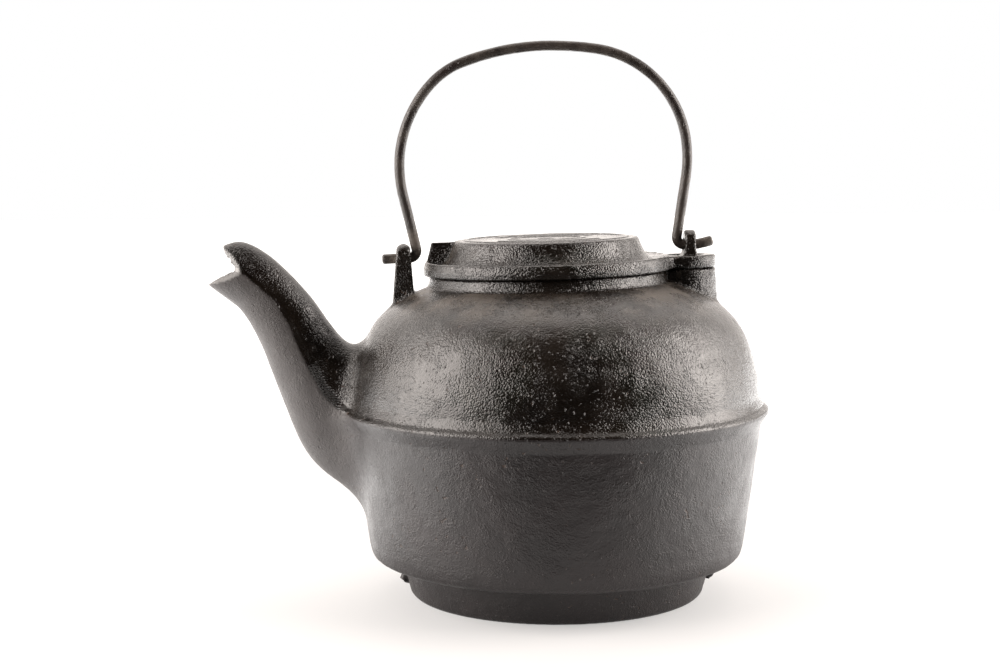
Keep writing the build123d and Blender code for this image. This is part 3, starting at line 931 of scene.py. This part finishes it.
def build_lid():
    """The lid casting."""
    p, quads, normals = field_mesh(lid_field, *LID_BOX, LID_CELL)
    along, y, above = rim_frame(p, LID_GAP)
    radius = np.hypot(along, y)
    pebbles = 0.045 * noise(p, 4.2, 60) + 0.05 * noise(p, 2.3, 61) + 0.04 * noise(p, 1.5, 62)
    pebbles *= 1.0 - 0.7 * ramp(above, CROWN_H - 0.6, CROWN_H - 0.2)
    waves = 0.13 * noise(p, 24.0, 63) + 0.06 * noise(p, 9.0, 64)
    pits = -0.4 * np.maximum(noise(p, 3.0, 65) - 0.6, 0.0)
    fin_root = crease_near(LID_PROFILE(radius, above), np.abs(y) - FIN_HALF_T, 2.5)
    fin_root = fin_root * (along < FIN_END) * (above > 5)
    tongue_root = np.exp(-((along - 66.0) / 5.0) ** 2) * (np.abs(y) > 10)
    rough = np.clip(fin_root + tongue_root, 0, 1)
    relief = waves + pebbles + pits + crown_relief(p) + rough * 0.3 * noise(p, 2.0, 66)
    under = ramp(above, 0.0, 0.8)
    bore = ramp(np.hypot(along - PIVOT_D, y), PIVOT_HOLE_R + 0.2, PIVOT_HOLE_R + 1.2)
    relief = np.where(relief > 0, relief * under, relief) * bore
    p = clip_to_box(p + normals * relief[:, None])
    by_fin = ramp(-along, 48.0, 60.0) * ramp(-np.abs(y), -26.0, -8.0)
    by_fin = by_fin * ramp(np.abs(y), FIN_HALF_T + 0.3, FIN_HALF_T + 1.2)
    marks = {"tint": np.clip(0.08 + 0.6 * by_fin, 0, 1), "rough": rough,
             "smooth": ramp(normals[:, 2], 0.90, 0.985)}
    make_piece("lid_casting", p, quads, point_normals(p, quads), marks, LID_IRON,
               "lid", "lid")
    print("lid", len(quads), "faces")


# ============================ the bail =======================================================

def leg_points(arcs, turn, end_x, lift):
    """One leg of the bail from the apex down to its hook's end, as (x, z) points."""
    heading = pi if turn > 0 else 0.0
    points, heading = arc_points(BAIL_APEX, heading, arcs, turn, 0.0, 0.6)
    foot = points[-1]
    way = np.array([cos(heading), sin(heading)])
    run = (axis_z(foot[0]) - foot[1]) / (way[1] - AXIS_SLOPE * way[0])
    corner = foot + way * run
    out = np.array([-turn, -turn * AXIS_SLOPE]) / hypot(1.0, AXIS_SLOPE)
    bend = np.arccos(np.clip(way @ out, -1, 1))
    back = HOOK_BEND_R * tan(bend / 2)
    first = corner - way * back
    sign = 1 if way[0] * out[1] - way[1] * out[0] > 0 else -1
    for t in np.linspace(0, 1, max(2, int(run - back)))[1:]:
        points.append(foot + (first - foot) * t)
    curve, heading = arc_points(first, heading, ((HOOK_BEND_R, degrees(bend)),), sign, 0.0, 0.5)
    points += curve[1:]
    start = points[-1]
    reach = abs(end_x - start[0])
    for t in np.linspace(0, 1, int(reach / 0.6))[1:]:
        x = start[0] + (end_x - start[0]) * t
        beyond = max(0.0, abs(x) - HOOK_RISE_FROM)
        rise = lift * beyond ** 2 / (beyond + HOOK_RISE_EASE)
        points.append(np.array([x, axis_z(x) + rise]))
    return points


def build_bail():
    """The bent rod, swept as rings along its line, with rounded ends."""
    front = leg_points(BAIL_FRONT_ARCS, 1, FRONT_HOOK_END_X, 0.0)
    rear = leg_points(BAIL_REAR_ARCS, -1, REAR_HOOK_END_X, REAR_HOOK_RISE)
    line = np.array(front[::-1] + rear[1:])
    way = np.gradient(line, axis=0)
    way /= np.linalg.norm(way, axis=1, keepdims=True)
    side = np.stack([-way[:, 1], way[:, 0]], 1)
    sides = 44
    angle = np.linspace(0, 2 * pi, sides, endpoint=False)
    walked = np.concatenate([[0], np.cumsum(np.linalg.norm(np.diff(line, axis=0), axis=1))])
    to_end = np.minimum(walked, walked[-1] - walked)
    near_end = np.clip(1 - to_end / ROD_END_ROUND, 0, 1)
    radius = ROD_R - ROD_END_ROUND * (1 - np.sqrt(1 - near_end ** 2))
    rings = []
    outward = []
    for k in range(len(line)):
        c, s = np.cos(angle), np.sin(angle)
        spoke = np.stack([side[k, 0] * c, s, side[k, 1] * c], 1)
        rings.append(np.array([line[k, 0], 0.0, line[k, 1]]) + spoke * radius[k])
        outward.append(spoke)
    caps = []
    for index in (0, -1):
        middle = np.array([line[index, 0], 0.0, line[index, 1]])
        for share in CAP_SHARES:
            caps.append(middle + (rings[index] - middle) * share)
    rings = caps[2::-1] + rings + caps[3:]
    outward = [outward[0]] * 3 + outward + [outward[-1]] * 3
    p = np.concatenate(rings)
    out = np.concatenate(outward)
    count = len(rings)
    k = np.arange(count - 1)[:, None] * sides
    j = np.arange(sides)[None, :]
    after = (j + 1) % sides
    quads = np.stack([k + j, k + after, k + sides + after, k + sides + j], -1).reshape(-1, 4)
    along = np.repeat(np.arange(count), sides)
    shaft = (along > 3) & (along < count - 4)
    relief = -0.07 + 0.07 * noise(p, 14.0, 80) + 0.05 * noise(p, 3.2, 81) + 0.03 * noise(p, 1.6, 82)
    relief -= 0.25 * np.maximum(noise(p * np.array([1, 1, 0.5]), 2.6, 83) - 0.6, 0.0)
    groove = np.exp(-(p[:, 1] + 2.6) ** 2 / 0.5) * (p[:, 0] < -93) * (np.abs(p[:, 2] - axis_z(p[:, 0])) < 1.6)
    relief -= 0.45 * groove
    p = p + out * np.where(shaft, relief, 0.0)[:, None]
    rest = ramp(-np.abs(np.abs(p[:, 0]) - 88.0), -14.0, -6.0) * (p[:, 2] < 215)
    marks = {"tint": 0.35 + 0.65 * rest, "rough": 0.4 * rest}
    quads = quads[:, ::-1]
    make_piece("bail_rod", clip_to_box(p), quads, point_normals(p, quads), marks, BAIL_IRON,
               "bail", "bail")
    print("bail", len(quads), "faces")


# ============================ camera, stage and lights =======================================

FLOOR_Z_M = CAD_BOX[0][2] - 0.0002
FLOOR_HALF = 6.0
LENS = 64.31
SENSOR = 36.0
AIM = (0.0, 0.0, 0.12)
WARM_LIGHT = (1.0, 0.93, 0.88)
# name, azimuth (0 is towards the camera, 90 to its right), elevation, distance, width, height, watts
SOFTBOXES = (("softbox_left", -76, 21, 1.35, 1.35, 1.15, 37),
             ("softbox_right", 84, 21, 1.4, 1.15, 1.15, 37),
             ("softbox_top", 180, 70, 1.8, 1.6, 1.2, 7))
# the world's glow by the reflected ray's y, from the camera's side to the far side
DARK_SIDE = -0.55
LIGHT_SIDE = 0.35
WORLD_FRONT = 0.015
DARK_WARMTH = (1.0, 0.78, 0.70)
WORLD_BACK = 1.7
# the floor's own glow: what the camera sees, by distance, and what is mirrored, by y and distance
FLOOR_COLOUR = 0.35
FLOOR_ROUGH = 0.7
FLOOR_HUE = (1.0, 0.985, 0.97, 1.0)
FLOOR_NEAR = 0.42
FLOOR_FAR = 1.15
FLOOR_FADE = (0.45, 1.7)
FLOOR_DARK_Y = -0.30
FLOOR_LIGHT_Y = -0.12
FLOOR_LEAST = 0.02
FLOOR_GLOW = 3.0
FLOOR_SHADE = 0.25
FLOOR_SHADE_R = (0.10, 0.30)
CAMERA_AT = (-0.07299, -1.04382, 0.25972)
CAMERA_RIGHT = Vector((0.99920, -0.03944, -0.00701))
CAMERA_UP = Vector((0.01098, 0.10136, 0.99479))


def add_camera():
    """The camera that the object was seen from."""
    data = bpy.data.cameras.new("camera")
    data.lens = LENS
    data.sensor_width = SENSOR
    data.clip_start = 0.05
    camera = bpy.data.objects.new("camera", data)
    back = CAMERA_RIGHT.cross(CAMERA_UP)
    turn = Matrix((CAMERA_RIGHT, CAMERA_UP, back)).transposed()
    camera.matrix_world = Matrix.Translation(CAMERA_AT) @ turn.to_4x4()
    bpy.context.scene.collection.objects.link(camera)
    bpy.context.scene.camera = camera


def add_softbox(name, azimuth, elevation, distance, width, height, power):
    """An area light aimed at the kettle."""
    az, el = radians(azimuth), radians(elevation)
    data = bpy.data.lights.new(name, "AREA")
    data.shape = "RECTANGLE"
    data.size = width
    data.size_y = height
    data.energy = power
    data.color = WARM_LIGHT
    light = bpy.data.objects.new(name, data)
    offset = Vector((sin(az) * cos(el), -cos(az) * cos(el), sin(el))) * distance
    turn = offset.to_track_quat("Z", "Y").to_matrix().to_4x4()
    light.matrix_world = Matrix.Translation(Vector(AIM) + offset) @ turn
    light.visible_camera = False
    bpy.context.scene.collection.objects.link(light)


def pale_world():
    """A white studio that is dark beside the camera, as seen in reflections."""
    world = bpy.data.worlds.new("studio")
    bpy.context.scene.world = world
    world.use_nodes = True
    tree = world.node_tree
    background = tree.nodes["Background"]
    way = tree.nodes.new("ShaderNodeTexCoord")
    split = tree.nodes.new("ShaderNodeSeparateXYZ")
    tree.links.new(way.outputs["Generated"], split.inputs["Vector"])
    shade = tree.nodes.new("ShaderNodeMapRange")
    shade.interpolation_type = "SMOOTHSTEP"
    shade.inputs["From Min"].default_value = DARK_SIDE
    shade.inputs["From Max"].default_value = LIGHT_SIDE
    shade.inputs["To Min"].default_value = WORLD_FRONT
    shade.inputs["To Max"].default_value = WORLD_BACK
    tree.links.new(split.outputs["Y"], shade.inputs["Value"])
    path = tree.nodes.new("ShaderNodeLightPath")
    strength = tree.nodes.new("ShaderNodeMix")
    tree.links.new(path.outputs["Is Camera Ray"], strength.inputs["Factor"])
    tree.links.new(shade.outputs["Result"], strength.inputs["A"])
    strength.inputs["B"].default_value = 1.0
    tree.links.new(strength.outputs["Result"], background.inputs["Strength"])
    hue = tree.nodes.new("ShaderNodeMix")
    hue.data_type = "RGBA"
    tree.links.new(path.outputs["Is Camera Ray"], hue.inputs["Factor"])
    warmth = tree.nodes.new("ShaderNodeMix")
    warmth.data_type = "RGBA"
    warmth.inputs["A"].default_value = (*DARK_WARMTH, 1.0)
    warmth.inputs["B"].default_value = (*WARM_LIGHT, 1.0)
    tree.links.new(shade.outputs["Result"], warmth.inputs["Factor"])
    tree.links.new(warmth.outputs["Result"], hue.inputs["A"])
    hue.inputs["B"].default_value = (1.0, 1.0, 1.0, 1.0)
    tree.links.new(hue.outputs["Result"], background.inputs["Color"])


def floor_material():
    """White paper: even white to the camera, and dark beside the camera as seen in reflections."""
    material = bpy.data.materials.new("floor_white")
    material.use_nodes = True
    make = node_maker(material)
    link = material.node_tree.links.new
    shader = material.node_tree.nodes["Principled BSDF"]
    shader.inputs["Roughness"].default_value = FLOOR_ROUGH
    place = make("ShaderNodeTexCoord").outputs["Object"]
    away = make("ShaderNodeVectorMath", {0: place}, operation="LENGTH").outputs["Value"]
    seen = make("ShaderNodeMapRange", {"Value": away, "From Min": FLOOR_FADE[0], "From Max": FLOOR_FADE[1],
                                       "To Min": FLOOR_NEAR, "To Max": FLOOR_FAR}).outputs["Result"]
    depth = make("ShaderNodeSeparateXYZ", {"Vector": place}).outputs["Y"]
    lit = make("ShaderNodeMapRange", {"Value": depth, "From Min": FLOOR_DARK_Y, "From Max": FLOOR_LIGHT_Y,
                                      "To Min": FLOOR_LEAST, "To Max": 1.0},
               interpolation_type="SMOOTHSTEP").outputs["Result"]
    under = make("ShaderNodeMapRange", {"Value": away, "From Min": FLOOR_SHADE_R[0],
                                        "From Max": FLOOR_SHADE_R[1],
                                        "To Min": FLOOR_SHADE, "To Max": FLOOR_GLOW},
                 interpolation_type="SMOOTHSTEP").outputs["Result"]
    mirrored = make("ShaderNodeMath", {0: lit, 1: under}, operation="MULTIPLY").outputs["Value"]
    camera_ray = make("ShaderNodeLightPath").outputs["Is Camera Ray"]
    glow = make("ShaderNodeMix", {"Factor": camera_ray, "A": mirrored, "B": seen}).outputs["Result"]
    shade = make("ShaderNodeMath", {0: lit, 1: FLOOR_COLOUR}, operation="MULTIPLY").outputs["Value"]
    colour = make("ShaderNodeMix", {"Factor": camera_ray, "A": shade, "B": FLOOR_COLOUR}).outputs["Result"]
    link(colour, shader.inputs["Base Color"])
    shader.inputs["Emission Color"].default_value = FLOOR_HUE
    link(glow, shader.inputs["Emission Strength"])
    return material


def add_floor():
    """The plain pale floor, a hair below the foot."""
    h = FLOOR_HALF
    mesh = bpy.data.meshes.new("floor")
    mesh.from_pydata([(-h, -h, 0), (h, -h, 0), (h, h, 0), (-h, h, 0)], [], [(0, 1, 2, 3)])
    mesh.materials.append(floor_material())
    panel = bpy.data.objects.new("floor", mesh)
    panel.matrix_world = Matrix.Translation((0, 0, FLOOR_Z_M))
    bpy.context.scene.collection.objects.link(panel)


def add_stage():
    """White floor, broad softboxes at both sides and a faint one above."""
    add_floor()
    for box in SOFTBOXES:
        add_softbox(*box)
    pale_world()


bpy.context.scene.view_settings.view_transform = "Standard"
add_camera()
add_stage()
build_body()
build_lid()
build_bail()
